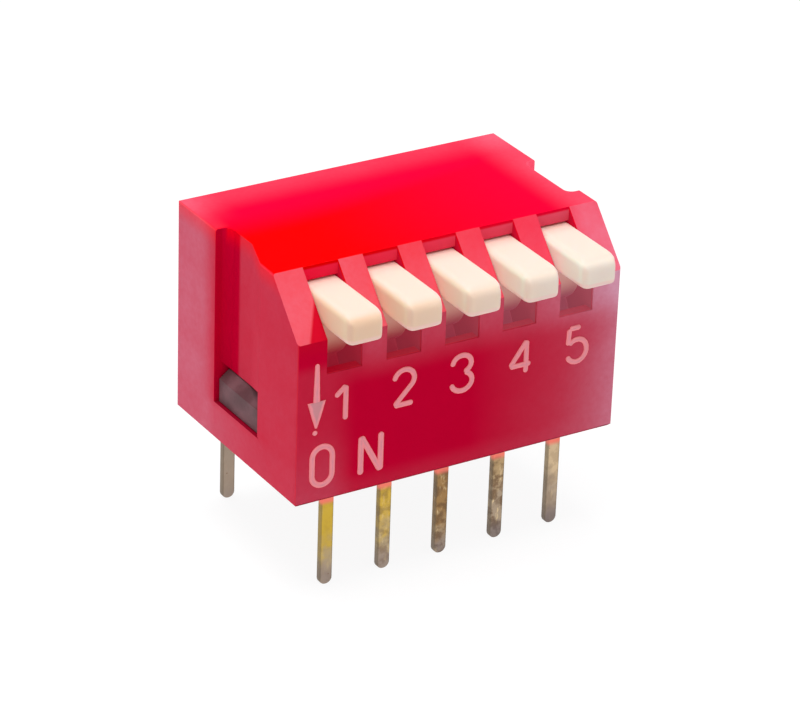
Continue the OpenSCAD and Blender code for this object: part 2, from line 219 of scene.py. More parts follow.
def coverPlastic():
    look = {
        # painted light and shade: shaded copies of the red for the face, ends and shaded places, lighter ones
        # along the ends' top edges and behind the right end's hollow
        "red": (0.84, 0.0003, 0.0008), "blueRed": (0.84, 0.0003, 0.034), "deepRed": (0.6, 0.0004, 0.031),
        "endRed": (0.67, 0.0006, 0.028), "shadeRed": (0.3, 0.003, 0.02), "noseShadeRed": (0.62, 0.004, 0.022),
        "crownRed": (0.97, 0.0006, 0.014), "notchRed": (0.95, 0.12, 0.2), "haze": (0.78, 0.36, 0.49),
        "slotWall": (0.6, 0.006, 0.035), "highGlow": (0.06, 0.001, 0.005), "notchGlow": (0.3, 0.025, 0.05),
        # painted light and shade in the slots, darker low down and on the side walls and with a painted glow,
        # at the first and at the last switch
        "slotRed": ((0.93, 0.01, 0.05), (0.8, 0.09, 0.15)), "lowRed": ((0.3, 0.006, 0.018), (0.3, 0.07, 0.09)),
        "lowGlow": ((0.165, 0.007, 0.019), (0.2, 0.045, 0.065)),
        "sillGlow": ((0.2, 0.0002, 0.008), (0.25, 0.032, 0.052)), "alongRow": (0.09, 0.5),
        "roughness": 0.38, "sheen": 0.002, "grain": (0.12, 0.02),
        # places on the cover, and the slope as its foot's height and its normal
        "endWall": 0.65, "faceInset": 0.05, "windowFoot": 1.6, "windowTop": 3.6, "sillTop": 5.6,
        "slotRear": -1.5, "slopeFoot": 6.7, "slopeNormal": (0.736, 0.677),
        # the painted shade of the first lever's nose on the slope: its slanting edge through a point, and where
        # it ends
        "noseShadeEdge": (-6.15, 7.37), "noseShadeLean": 0.65, "noseShadeEnd": -5.6,
        # how the face's painted sheen grows to the right
        "rightward": (0.154, -0.077), "rightwardShares": (0.13, 0.38), "crownSheen": 0.4, "shadeSheen": 0.8,
    }
    # each zone is a product of fades along places, or along parts of the surface's normal
    zones = {
        "top": [("nz", 0.72, 0.95)], "forward": [("ny", -0.7, -0.95)], "sideways": [("absNx", 0.35, 0.9)],
        "slope": [("nz", 0.4, 0.6), ("ny", -0.4, -0.6)], "underside": [("nz", -0.6, -0.9)],
        "rearEdge": [("toRear", 0.2, 0.0)], "face": [("fromFront", 0.3, 0.1)],
        "faceEdge": [("fromFront", 0.12, 0.05)],
        "band": [("y", 0.4, 0.62), ("y", 1.4, 1.37), ("nz", 0.7, 0.3)],
        "ledge": [("nz", 0.3, 0.6)], "chamfer": [("nz", -0.3, -0.6), ("nz", -0.98, -0.9)],
        "inSlot": [("behind", 0.05, 0.12), ("fromTop", 0.02, 0.12)], "deep": [("z", 7.6, 6.9)],
        "slotSide": [("absNx", 0.5, 0.9)], "wiped": [("pastWipe", -0.06, 0.1)],
        "noseShadeFace": [("x", -5, -6), ("z", 6.0, 6.7, 0, 0.5)], "coldRight": [("x", -4.5, 7.5)],
        "coldRear": [("y", 0.0, 2.4)], "crown": [("fromTop", 0.9, -0.1)],
        "notch": [("y", 1.0, 1.3), ("ny", -0.4, -0.8)], "notchTop": [("z", 7.0, 8.5)],
        "patchy": [("cloud", 0.25, 0.75, 0.85, 1.15), ("fine", 0.2, 0.8, 0.9, 1.1)],
    }
    # painted sheen, a pale reflection put into the colour: on the ends, round the top's rear and sides, on the
    # face and on the ribs between the slots
    paintedSheens = [
        ("ends", [("y", 1.2, 2.5, 0.115, 0.38)]),
        ("ends", [("z", 1.9, 1.2), ("y", -4, 1, 0.02, 0.14), ("y", 2.6, 1.6)]),
        ("top", [("toRear", 2.0, 0.2, 0.0, 0.1)]),
        ("top", [("x", -5.4, -7.0, 0.0, 0.12), ("y", 1.5, 3.8)]),
        ("top", [("x", -6.3, -7.0, 0.0, 0.05), ("y", 1.3, 1.5)]),
        ("top", [("x", 5.0, 6.9, 0.0, 0.17)]),
        ("faceRight", []), ("faceRight", [("z", 4.4, 6.2), ("x", -5.8, -3.6)]),
        ("face", [("x", -4.4, -5.8), ("z", 5.9, 5.3), ("z", 3.2, 0.8, 0.05, 0.11)]),
        ("face", [("z", 4.4, 6.2), ("x", -5.8, -3.6, 0.0, 0.17)]),
        ("face", [("z", 1.0, 0.2, 0.0, 0.04)]),
        ("ribs", [("x", -7, 4, 0.24, 0.13)]), ("ribs", [("fromTop", 0.0, 1.4, 0.0, 0.09)]),
        ("ribs", [("x", 5.3, 6.5, 0.0, 0.2)]),
    ]
    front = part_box("cover")[0][1] / mm
    right, rear, high = (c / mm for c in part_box("cover")[1])
    hollowX = right - look["endWall"]
    material, net = newMaterial("coverRed")
    spot, at = net.surface()
    x, y, z = at["x"], at["y"], at["z"]
    grain = net.noise(spot, 26, detail=2, seed=5)
    at["cloud"] = net.noise(spot, 0.4, detail=2)
    at["fine"] = net.noise(spot, 5, detail=3, seed=2)
    at["absNx"] = abs(at["nx"])
    at["fromFront"], at["toRear"], at["fromTop"] = y - front, rear - y, high - z
    outward, up = look["slopeNormal"]
    at["behind"] = net.smaller(at["fromFront"], at["fromFront"] * outward + (look["slopeFoot"] - z) * up)
    at["pastWipe"] = x - look["noseShadeEdge"][0] + (look["noseShadeEdge"][1] - z) * look["noseShadeLean"]

    def zone(name):
        return net.fades(at, zones[name])

    def ofRow(key):
        return net.mix(alongRow, *look[key])

    alongRow = net.line(x, *look["alongRow"])
    top, forward, slope = zone("top"), zone("forward"), zone("slope")
    offTop, offSlope, offFace, atEnd = 1 - top, 1 - slope, 1 - forward, abs(x) > hollowX
    # painted shade: the ends, the rear and the underside take a darker copy of the red, and the face a darker
    # one still
    ends = net.larger(zone("sideways") * atEnd, zone("rearEdge") * offTop)
    face = net.larger(forward * zone("face"),
                      zone("faceEdge") * (abs(x) < right - look["faceInset"]) * offSlope)
    # the rear of the left end's hollow is in shade, and so are its strap's top and the bevelled foot
    band = zone("band") * (x < -hollowX) * (z > look["windowFoot"])
    shade = net.larger(zone("ledge") * (z < look["windowTop"]) * atEnd, zone("chamfer"))
    # painted shade where the first lever's nose shadows the slope beside it; the painted sheen is left off
    # there
    wiped = slope * zone("wiped") * (x < look["noseShadeEnd"])
    # light gathers in the plastic along the ends' top edges and behind the right end's hollow
    crown = zone("crown") * atEnd * offTop * offSlope * offFace
    notch = zone("notch") * (x > hollowX)
    colour = look["red"]
    for share, key in [
            (net.larger(zone("coldRight"), zone("coldRear")), "blueRed"),
            (net.larger(ends, zone("underside")), "endRed"),
            (net.larger(face, band), "deepRed"),
            (net.larger(wiped, face * zone("noseShadeFace")), "noseShadeRed"),
            (crown, "crownRed"), (shade, "shadeRed"), (notch, "notchRed")]:
        colour = net.mix(share, colour, look[key])
    # inside the slots, painted shade: darker low down and on the side walls; the plastic lets some light
    # through from above, which is painted as a glow
    inside = zone("inSlot") * (abs(x) < hollowX) * (y < look["slotRear"])
    deep = inside * zone("deep")
    sill = inside * (at["nz"] > 0.5) * (z < look["sillTop"])
    slot = net.mix(zone("slotSide"), ofRow("slotRed"), look["slotWall"])
    colour = net.mix(inside, colour, net.mix(deep, slot, ofRow("lowRed")))
    glow = net.mix(sill, net.mix(deep, look["highGlow"], ofRow("lowGlow")), ofRow("sillGlow"))
    glow = net.mix(inside, (0, 0, 0), glow)
    # a painted glow on the wall behind the right end's hollow
    glow = net.mix(notch * zone("notchTop"), glow, look["notchGlow"])
    rightward = net.line(x, *look["rightward"])
    some, steep = look["rightwardShares"]
    areas = {"ends": ends, "top": top, "face": face, "ribs": slope * offFace,
             "faceRight": face * (rightward * some + rightward ** 5 * steep)}
    haze = sum(areas[name] * net.fades(at, steps) for name, steps in paintedSheens)
    # the painted sheen is left off where shade is painted and inside the slots, and thinned along the ends' top
    # edges
    sheenless = net.larger(band, net.larger(wiped, shade * look["shadeSheen"]))
    haze = haze * (1 - crown * look["crownSheen"]) * (1 - sheenless) * (1 - inside) * zone("patchy")
    finishMaterial(net, baseColor=net.mix(haze, colour, look["haze"]), specularLevel=look["sheen"],
                   roughness=look["roughness"] + 0.1 * at["cloud"], emissionColor=glow, emissionStrength=1.0,
                   normal=net.bump(grain + 0.6 * at["fine"], *look["grain"]))
    return material


def leverNylon():
    look = {
        # each colour at the first and at the last switch; top, side, front and corner are lit and shaded copies
        # of one cream, as painted light and shade
        "top": ((0.79, 0.64, 0.53), (0.79, 0.67, 0.57)), "side": ((0.87, 0.68, 0.47), (0.9, 0.93, 0.8)),
        "front": ((0.91, 0.64, 0.45), (0.93, 0.8, 0.7)), "corner": ((0.83, 0.57, 0.42), (0.88, 0.75, 0.64)),
        # painted light: a pale pink rim for red light thrown back from the cover; painted shade on the top near
        # the slot
        "rim": (1.0, 0.66, 0.61), "rimShare": 0.7, "nearSlot": (0.79, 0.56, 0.47),
        # painted shade and red bounce inside the slot: high on the drum, then low on the cam, with a painted
        # glow
        "drum": (0.5, 0.27, 0.22), "cam": ((0.35, 0.03, 0.05), (0.35, 0.1, 0.12)),
        "highGlow": ((0.22, 0.1, 0.07), (0.25, 0.14, 0.13)),
        "lowGlow": ((0.165, 0.004, 0.016), (0.18, 0.045, 0.07)), "slotFront": -4.9,
        "roughness": 0.42, "sheen": 0.25, "softness": 0.5, "depth": 0.35, "grain": (0.1, 0.02),
    }
    zones = {
        "alongRow": [("x", -6, 6)], "nearSlot": [("y", -3.8, -3.0)], "side": [("nz", 0.95, 0.3)],
        "front": [("ny", -0.3, -0.9), ("cloud", 0.2, 0.8, 0.8, 1.0)],
        "corner": [("nxNy", 0.15, 0.5), ("nz", 0.9, 0.1)],
        "rightEdge": [("aside", 0.6, 0.69), ("nx", 0.98, 0.8)],
        "lowEdge": [("z", 7.26, 7.16), ("nz", -0.98, -0.8)], "noseTip": [("y", -5.2, -5.8)],
        "inSlot": [("z", 7.1, 6.5)], "camColour": [("z", 6.4, 5.4)], "camGlow": [("z", 6.3, 5.1)],
    }
    material, net = newMaterial("leverCream")
    spot, at = net.surface()
    at["cloud"] = net.noise(spot, 0.8, detail=3)
    grain = net.noise(spot, 22, detail=2, seed=3)
    at["nxNy"] = at["nx"] * at["ny"]
    at["aside"] = at["x"] - net.maths("ROUND", at["x"] / pitch) * pitch

    def zone(name):
        return net.fades(at, zones[name])

    def ofRow(key):
        return net.mix(alongRow, *look[key])

    alongRow = zone("alongRow")
    # painted light and shade by which way the surface faces, painted shade near the slot, and the painted rim
    colour = net.mix(zone("nearSlot"), ofRow("top"), look["nearSlot"])
    for name in ("side", "front", "corner"):
        colour = net.mix(zone(name), colour, ofRow(name))
    rim = net.larger(zone("rightEdge"), zone("lowEdge")) * zone("noseTip")
    colour = net.mix(rim * look["rimShare"], colour, look["rim"])
    # painted shade and a painted glow inside the slot
    inSlot = zone("inSlot") * (at["y"] > look["slotFront"])
    colour = net.mix(inSlot, colour, net.mix(zone("camColour"), look["drum"], ofRow("cam")))
    glow = net.mix(zone("camGlow"), ofRow("highGlow"), ofRow("lowGlow"))
    finishMaterial(net, baseColor=colour, roughness=look["roughness"] + 0.1 * at["cloud"],
                   emissionColor=net.mix(inSlot, (0, 0, 0), glow), emissionStrength=1.0,
                   specularLevel=look["sheen"], subsurfaceWeight=look["softness"],
                   subsurfaceScale=look["depth"] * mm, subsurfaceRadius=(1.0, 0.8, 0.6),
                   normal=net.bump(grain, *look["grain"]))
    return material


def basePlastic():
    look = {"dark": (0.105, 0.037, 0.044), "dusty": (0.185, 0.078, 0.09), "dust": (0.35, 0.7),
            "roughness": 0.5, "sheen": 0.3, "grain": (0.2, 0.02)}
    material, net = newMaterial("baseCharcoal")
    spot = net.place()
    cloud = net.noise(spot, 1.2, detail=4)
    grain = net.noise(spot, 30, detail=2, seed=4)
    colour = net.mix(net.fade(cloud, *look["dust"]), look["dark"], look["dusty"])
    finishMaterial(net, baseColor=colour, roughness=look["roughness"] + 0.15 * cloud,
                   specularLevel=look["sheen"], normal=net.bump(grain, *look["grain"]))
    return material


def printInk():
    # the ink is thin and greyish in the middle of a line, thick and pink along its rim
    look = {"rim": (1.0, 0.31, 0.34), "pink": (0.95, 0.32, 0.37), "grey": (0.7, 0.29, 0.32),
            "pinkFrom": (0.03, 0.1), "greyFrom": (0.08, 0.16), "wear": 0.12,
            "roughness": 0.6, "sheen": 0.1, "grain": (0.3, 0.01)}
    material, net = newMaterial("printInk")
    spot = net.place()
    wear = net.noise(spot, 4, detail=4)
    fleck = net.noise(spot, 22, detail=2, seed=8)
    inset = (1 - net.attribute("across")) * net.attribute("lineWidth") * (0.5 / mm)
    inset = inset + (wear - 0.5) * look["wear"]
    colour = net.mix(net.fade(inset, *look["pinkFrom"]), look["rim"], look["pink"])
    colour = net.mix(net.fade(inset, *look["greyFrom"]), colour, look["grey"])
    finishMaterial(net, baseColor=colour, roughness=look["roughness"], specularLevel=look["sheen"],
                   normal=net.bump(fleck, *look["grain"]))
    return material


def terminalPlate():
    look = {
        # a strip's colour near the cover, from switch 1 to 5
        "upper": ((0.62, 0.42, 0.055), (0.66, 0.44, 0.07), (0.36, 0.21, 0.085),
                  (0.48, 0.33, 0.17), (0.64, 0.48, 0.3)),
        # how far down that colour reaches, how mottled the strip is and how grey, from switch 1 to 5
        "reach": (0.65, 0.55, 0.75, 0.4, 0.5), "mottle": (0.15, 0.55, 0.95, 1.0, 0.3),
        "grey": (0.2, 0.2, 0.5, 0.7, 0.8), "rearMottle": 0.3, "rearGrey": 0.9, "reachEdge": (0.2, -0.2),
        "tin": (0.5, 0.38, 0.2), "greyTin": (0.4, 0.31, 0.25), "greyFrom": (0.6, 0.95),
        "paleGold": (0.8, 0.62, 0.36), "paleShare": 0.8, "paleFrom": (0.46, 0.36),
        "tarnish": (0.17, 0.085, 0.03), "stainShare": 0.75, "stainFrom": (0.45, 0.6),
        "tip": (0.2, 0.16, 0.155), "tipFrom": (0.75, 0.95),
        # painted shade: each strip is darker along its side edges
        "edge": (0.15, 0.12, 0.08), "edgeShare": 0.55, "edgeFrom": (0.2, 0.25),
        "dots": (3.5, 0.16), "dotShare": 0.6,
        "blush": (0.9, 0.22, 0.16), "blushFrom": (-0.85, -0.6),  # red thrown back from the cover
        "streaks": (2.4, 2.4, 0.8), "roughness": 0.36, "grain": (0.4, 0.02),
    }
    material, net = newMaterial("terminalPlate")
    spot, at = net.surface()
    x, z = at["x"], at["z"]
    row = x / pitch + ways / 2

    def perSwitch(values):  # a colour, or three numbers, that changes from one switch to the next
        stops = [(i / ways, values[i % len(values)]) for i in range(ways)]
        return net.node("ShaderNodeValToRGB", {"stepped": True, "stops": stops}, {0: row / ways})

    reach, mottled, greyed = net.axes(perSwitch(list(zip(look["reach"], look["mottle"], look["grey"]))))
    front = net.fade(at["y"], 1, -1)
    mottled = mottled * net.fade(front, 0, 1, look["rearMottle"], 1)
    cloud = net.noise(spot, 2.2, detail=4, seed=1)
    streak = net.noise(net.vector("MULTIPLY", spot, look["streaks"]), 2.0, detail=5, roughness=0.65, seed=6)
    patch = net.noise(spot, 2.6, detail=6, roughness=0.6, seed=9)
    depth = z / (cadBox[0][2] / mm)
    grey = net.larger(net.larger(greyed, (1 - front) * look["rearGrey"]),
                      net.fade(depth + (streak - 0.5) * 0.4, *look["greyFrom"]))
    stain = net.fade(patch, *look["stainFrom"]) * mottled
    across = abs(x - (net.maths("FLOOR", row) - (ways - 1) / 2) * pitch)
    plated = net.fade(depth + (cloud - 0.5) * 0.8 - reach, *look["reachEdge"]) * front
    colour = net.mix(plated, net.mix(grey, look["tin"], look["greyTin"]), perSwitch(look["upper"]))
    for share, key in [
            (net.fade(streak, *look["paleFrom"]) * mottled * look["paleShare"], "paleGold"),
            (stain * look["stainShare"], "tarnish"),
            (net.fade(depth, *look["tipFrom"]) * greyed, "tip"),
            (net.fade(across + (patch - 0.5) * 0.04, *look["edgeFrom"]) * look["edgeShare"], "edge"),
            (net.speckle(spot, *look["dots"], seed=3) * look["dotShare"], "tarnish"),
            (front * net.fade(z, *look["blushFrom"]), "blush")]:
        colour = net.mix(share, colour, look[key])
    finishMaterial(net, baseColor=colour, metallic=1.0 - 0.4 * stain, roughness=look["roughness"] + 0.2 * cloud,
                   normal=net.bump(patch, *look["grain"]))
    return material


def contactBronze():
    look = {"gold": (0.8, 0.55, 0.2), "paleGold": (0.85, 0.63, 0.3), "clouds": (0.3, 0.7), "roughness": 0.3}
    material, net = newMaterial("contactGold")
    cloud = net.noise(net.place(), 3, detail=3)
    colour = net.mix(net.fade(cloud, *look["clouds"]), look["gold"], look["paleGold"])
    finishMaterial(net, baseColor=colour, metallic=1.0, roughness=look["roughness"] + 0.1 * cloud)
    return material


finishes = {
    "cover": coverPlastic(), "base": basePlastic(), "lever": leverNylon(),
    "contact": contactBronze(), "terminal": terminalPlate(), "marking": printInk(),
}
for name, part in frame["nodes"].items():
    part.data.materials.clear()
    part.data.materials.append(finishes[name.split("_")[0]])
print("materials made")


def newObject(name, data):
    made = bpy.data.objects.new(name, data)
    bpy.context.scene.collection.objects.link(made)
    return made


def cleanCopy(node, name, shift=(0, 0, 0)):
    # the CAD mesh as loose triangles, merged into whole flat faces
    shape = bmesh.new()
    shape.from_mesh(frame["nodes"][node].data)
    bmesh.ops.remove_doubles(shape, verts=shape.verts, dist=0.0005 * mm)
    bmesh.ops.dissolve_limit(shape, angle_limit=math.radians(2), verts=shape.verts, edges=shape.edges)
    bmesh.ops.translate(shape, verts=shape.verts, vec=shift)
    mesh = bpy.data.meshes.new(name)
    for face in shape.faces:
        face.smooth = True
    shape.to_mesh(mesh)
    shape.free()
    return newObject(name, mesh)


def addBevel(piece, edge, segments=2, bevelAngle=35):
    bevel = piece.modifiers.new("softEdges", "BEVEL")
    bevel.width, bevel.segments = edge * mm, segments
    bevel.limit_method, bevel.angle_limit = "ANGLE", math.radians(bevelAngle)
    bevel.miter_outer = "MITER_ARC"
    even = piece.modifiers.new("evenShading", "WEIGHTED_NORMAL")  # keeps the flat faces flat
    even.weight, even.keep_sharp = 80, True


def settle(piece, finish, body, nodes, smoothAngle=30):
    # apply what was added to a piece, and put it on its body in place of its CAD nodes
    whole = piece.evaluated_get(bpy.context.evaluated_depsgraph_get())
    mesh = bpy.data.meshes.new_from_object(whole)
    piece.modifiers.clear()
    piece.data = mesh
    mesh.name = piece.name
    mesh.materials.clear()
    mesh.materials.append(finishes[finish])
    mesh.polygons.foreach_set("material_index", [0] * len(mesh.polygons))
    if not mesh.has_custom_normals:
        mesh.polygons.foreach_set("use_smooth", [True] * len(mesh.polygons))
        mesh.set_sharp_from_angle(angle=math.radians(smoothAngle))
    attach(piece, body)
    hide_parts(*nodes)
    print(piece.name, len(mesh.polygons), "faces")


def inputName(key):  # noseRound is the input Nose round
    return "".join(" " + c.lower() if c.isupper() else c for c in key).capitalize()


def newTree(name, **inputs):
    # a geometry tree with an input for each value, where None stands for a material
    tree = bpy.data.node_groups.new(name, "GeometryNodeTree")
    tree.interface.new_socket("Geometry", in_out="INPUT", socket_type="NodeSocketGeometry")
    for key, value in inputs.items():
        kind = {float: "Float", int: "Int"}.get(type(value), "Material")
        socket = tree.interface.new_socket(inputName(key), in_out="INPUT", socket_type="NodeSocket" + kind)
        if value is not None:
            socket.default_value = value
    tree.interface.new_socket("Geometry", in_out="OUTPUT", socket_type="NodeSocketGeometry")
    net = Net(tree)
    start = net.node("NodeGroupInput", outlet="Geometry")
    return tree, net, start, lambda key: start.outlet(inputName(key))


def endTree(net, geometry, start):
    whole = net.node("GeometryNodeRealizeInstances", None, {0: geometry})
    coated = net.node("GeometryNodeSetMaterial", None, {"Geometry": whole, "Material": start.outlet("Finish")})
    net.node("NodeGroupOutput", None, {0: coated})


def grow(piece, tree, **values):  # put a tree on a piece, with its inputs' values
    modifier = piece.modifiers.new(tree.name, "NODES")
    modifier.node_group = tree
    sockets = {item.name: item for item in tree.interface.items_tree if item.in_out == "INPUT"}
    for key, value in values.items():
        modifier[sockets[inputName(key)].identifier] = value


def moved(net, geometry, spot, turn=(0, 0, 0)):
    return net.node("GeometryNodeTransform", None,
                    {"Geometry": geometry, "Translation": spot, "Rotation": turn})


def rowOf(net, piece, get, y=0.0, z=0.0):  # copies of a piece along X
    line = net.node("GeometryNodeMeshLine", None, {
        "Count": get("count"), "Start Location": net.combined(get("firstX"), y, z),
        "Offset": net.combined(get("pitch"))})
    return net.node("GeometryNodeInstanceOnPoints", None, {"Points": line, "Instance": piece})


def united(net, *pieces):
    return net.node("GeometryNodeMeshBoolean", {"operation": "UNION", "solver": "EXACT"},
                    {"Mesh 2": list(pieces)})


coverLook = {"edge": 0.045}


def makeCover():
    shell = cleanCopy("cover", "coverShell")
    addBevel(shell, **coverLook)
    settle(shell, "cover", "body", ["cover"])


# a row of shallow round marks runs along the underside at markRow, one between each two switches
baseLook = {"edge": 0.05, "markRadius": 0.55, "markDepth": 0.06, "markRow": 0.0, "markSides": 32}


def makeBase():
    plate = cleanCopy("base", "basePlate")
    tree, net, start, get = newTree(
        "ejectorMarks", count=ways - 1, pitch=pitch * mm, firstX=(switchX(1) + pitch / 2) * mm, rowY=0.0,
        faceZ=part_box("base")[0][2], radius=0.001, depth=0.0001, finish=None)
    disc = net.node("GeometryNodeMeshCylinder", None, {
        "Vertices": baseLook["markSides"], "Radius": get("radius"), "Depth": get("depth") * 2})
    discs = rowOf(net, disc, get, get("rowY"), get("faceZ"))
    cutters = net.node("GeometryNodeRealizeInstances", None, {0: discs})
    cut = net.node("GeometryNodeMeshBoolean", {"operation": "DIFFERENCE", "solver": "EXACT"},
                   {"Mesh 1": start, "Mesh 2": cutters})
    endTree(net, cut, start)
    grow(plate, tree, rowY=baseLook["markRow"] * mm, radius=baseLook["markRadius"] * mm,
         depth=baseLook["markDepth"] * mm, finish=finishes["base"])
    addBevel(plate, baseLook["edge"])
    settle(plate, "base", "body", ["base"])


leverLook = {
    "sizes": {
        "width": 1.47, "thickness": 1.15, "noseRound": 0.48, "footRound": 0.05,
        # rounding of the long edges: upper left, upper right, both lower ones
        "edgeRound": 0.26, "rightRound": 0.03, "sideRound": 0.2,
        # and of the upright edges: left, right
        "uprightRound": 0.3, "rightUpright": 0.03,
        "drumRadius": 1.65, "axleRadius": 0.45, "axleLength": 0.38,
        "camRadius": 0.35, "camWidth": 1.0, "camReach": 3.59,
    },
    "throw": 30.0, "steps": 10, "soften": 6, "drumSides": 96, "axleSides": 32,
    "edge": 0.05, "bevelAngle": 40,
}


def noseShape(net, get):
    # a fine box whose edges are drawn in to their own radii, plane by plane
    length = get("pivotY") - get("tipY")
    noseZ = get("pivotZ") + get("drumRadius") - get("thickness") * 0.5
    half = (get("width") * 0.5, length * 0.5, get("thickness") * 0.5)
    box = net.node("GeometryNodeMeshCube", None, {
        "Size": net.combined(get("width"), length, get("thickness")),
        "Vertices X": get("steps") * 3, "Vertices Y": get("steps") * 5, "Vertices Z": get("steps") * 3})
    position = net.node("GeometryNodeInputPosition")
    spot = net.axes(position)
    left, ahead, high = (spot[0] < 0), (spot[1] < 0), (spot[2] > 0)

    def either(choice, first, second):
        return choice * get(first) + (1 - choice) * get(second)

    def drawnIn(first, second, radius):  # how far a point moves along two axes to round the edge between them
        over = [net.larger(abs(spot[i]) - (half[i] - radius), 0.0) for i in (first, second)]
        share = 1 - net.larger(*over) / (net.hypotenuse(*over) + 1e-9)
        return {first: over[0] * share, second: over[1] * share}

    side = drawnIn(1, 2, ahead * either(high, "noseRound", "footRound"))
    front = drawnIn(0, 2, high * either(left, "edgeRound", "rightRound") + (1 - high) * get("sideRound"))
    plan = drawnIn(0, 1, ahead * either(left, "uprightRound", "rightUpright"))
    moves = [net.hypotenuse(*pair) for pair in ((front[0], plan[0]), (side[1], plan[1]), (side[2], front[2]))]
    nose = net.node("GeometryNodeSetPosition", None, {"Geometry": box, "Offset": net.combined(
        *[move * net.maths("SIGN", place) * -1 for move, place in zip(moves, spot)])})
    # the crease where three roundings meet is softened
    soft = net.node("GeometryNodeBlurAttribute", {"data_type": "FLOAT_VECTOR"}, {
        "Value": position, "Iterations": get("soften")})
    nose = net.node("GeometryNodeSetPosition", None, {"Geometry": nose, "Position": soft})
    return moved(net, nose, net.combined(get("middleX"), get("tipY") + half[1], noseZ))


def leverTree():
    tree, net, start, get = newTree(
        "rockingLever", middleX=0.0, pivotY=0.0, pivotZ=0.0, tipY=0.0,
        **{key: size * mm for key, size in leverLook["sizes"].items()},
        throw=math.radians(leverLook["throw"]), steps=leverLook["steps"], soften=leverLook["soften"],
        finish=None)
    pivot = net.combined(get("middleX"), get("pivotY"), get("pivotZ"))

    def turned(radius, width, sides, low=0.0):  # a cylinder along X, hung below the pivot
        cylinder = net.node("GeometryNodeMeshCylinder", None, {
            "Vertices": sides, "Radius": radius, "Depth": width})
        return moved(net, cylinder, net.combined(z=low), (0, math.pi / 2, 0))

    armLength = get("camReach") - get("camRadius")
    arm = net.node("GeometryNodeMeshCube", None, {
        "Size": net.combined(get("camWidth"), get("camRadius") * 2, armLength)})
    tip = turned(get("camRadius"), get("camWidth"), leverLook["axleSides"], armLength * -1)
    cam = moved(net, united(net, moved(net, arm, net.combined(z=armLength * -0.5)), tip),
                pivot, net.combined(get("throw") * -1))
    drum = moved(net, turned(get("drumRadius"), get("width"), leverLook["drumSides"]), pivot)
    axleWidth = get("width") + get("axleLength") * 2
    axle = moved(net, turned(get("axleRadius"), axleWidth, leverLook["axleSides"]), pivot)
    endTree(net, united(net, noseShape(net, get), drum, axle, cam), start)
    return tree


def makeLevers():
    tree = leverTree()
    pivots = {joint["name"]: joint["pos_m"] for joint in frame["joints"]}
    for number in range(1, ways + 1):
        node = f"lever_{number}"
        pivot = pivots[node + "_rock"]
        piece = newObject(f"leverBody_{number}", bpy.data.meshes.new(node))
        grow(piece, tree, middleX=switchX(number) * mm, pivotY=pivot[1], pivotZ=pivot[2],
             tipY=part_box(node)[0][1], finish=finishes["lever"])
        addBevel(piece, leverLook["edge"], bevelAngle=leverLook["bevelAngle"])
        settle(piece, "lever", node, [node])


terminalLook = {"edge": 0.035}


def makeTerminals():
    tree, net, start, get = newTree(
        "terminalRow", count=ways, pitch=pitch * mm, firstX=switchX(1) * mm, finish=None)
    endTree(net, rowOf(net, start, get), start)
    for side in ("front", "rear"):
        piece = cleanCopy(f"terminal_{side}_1", f"terminalRow_{side}", (-switchX(1) * mm, 0, 0))
        addBevel(piece, **terminalLook)
        grow(piece, tree, finish=finishes["terminal"])
        settle(piece, "terminal", "body", [f"terminal_{side}_{i}" for i in range(1, ways + 1)])


inkLook = {
    "numberLine": 0.21, "wordLine": 0.24, "loopLine": 0.2256, "height": 0.028, "wobble": 0.1,
    "numberZ": 3.235, "wordX": (-0.86, 1.23), "wordZ": 1.53, "wordHalf": (0.43, 0.8),
    # the arrow: its line, the heights of its tail, barbs and point, its half width, and the dot under it
    "arrowX": -1.16, "arrowZ": (5.81, 4.25, 3.15), "arrowHalf": 0.38, "arrowPoint": 0.08,
    "shaft": (0.18, 0.28), "shaftGap": 0.1, "dot": 0.2, "dotFrom": (-0.14, -0.2), "dotTo": (0.06, -0.16),
    "step": 0.02, "sides": 24, "roughScale": 5500, "smoothAngle": 80,
}


def arcPath(centre, radii, start, end, steps=14):
    turns = [math.radians(start + (end - start) * k / steps) for k in range(steps + 1)]
    return [(centre[0] + radii[0] * math.cos(a), centre[1] + radii[1] * math.sin(a)) for a in turns]


# strokes from the middle of each number's foot, in millimetres
numberPaths = [
    [[(0.08, 0), (0.08, 1.42)], [(-0.36, 1.03), (0.08, 1.42)]],
    [arcPath((0.06, 1.06), (0.43, 0.41), 178, -38) + [(-0.35, 0.03)], [(-0.35, 0.03), (0.46, 0.03)]],
    [arcPath((0.03, 1.11), (0.41, 0.36), 185, -75), arcPath((0.05, 0.37), (0.45, 0.39), 75, -175)],
    [[(0.36, 1.43), (-0.35, 0.44)], [(-0.35, 0.44), (0.57, 0.44)], [(0.36, 1.43), (0.36, 0.08)]],
    [[(-0.25, 1.45), (0.25, 1.45)], [(-0.25, 1.45), (-0.29, 0.77)],
     arcPath((0.12, 0.47), (0.45, 0.48), 142, -158)],
]


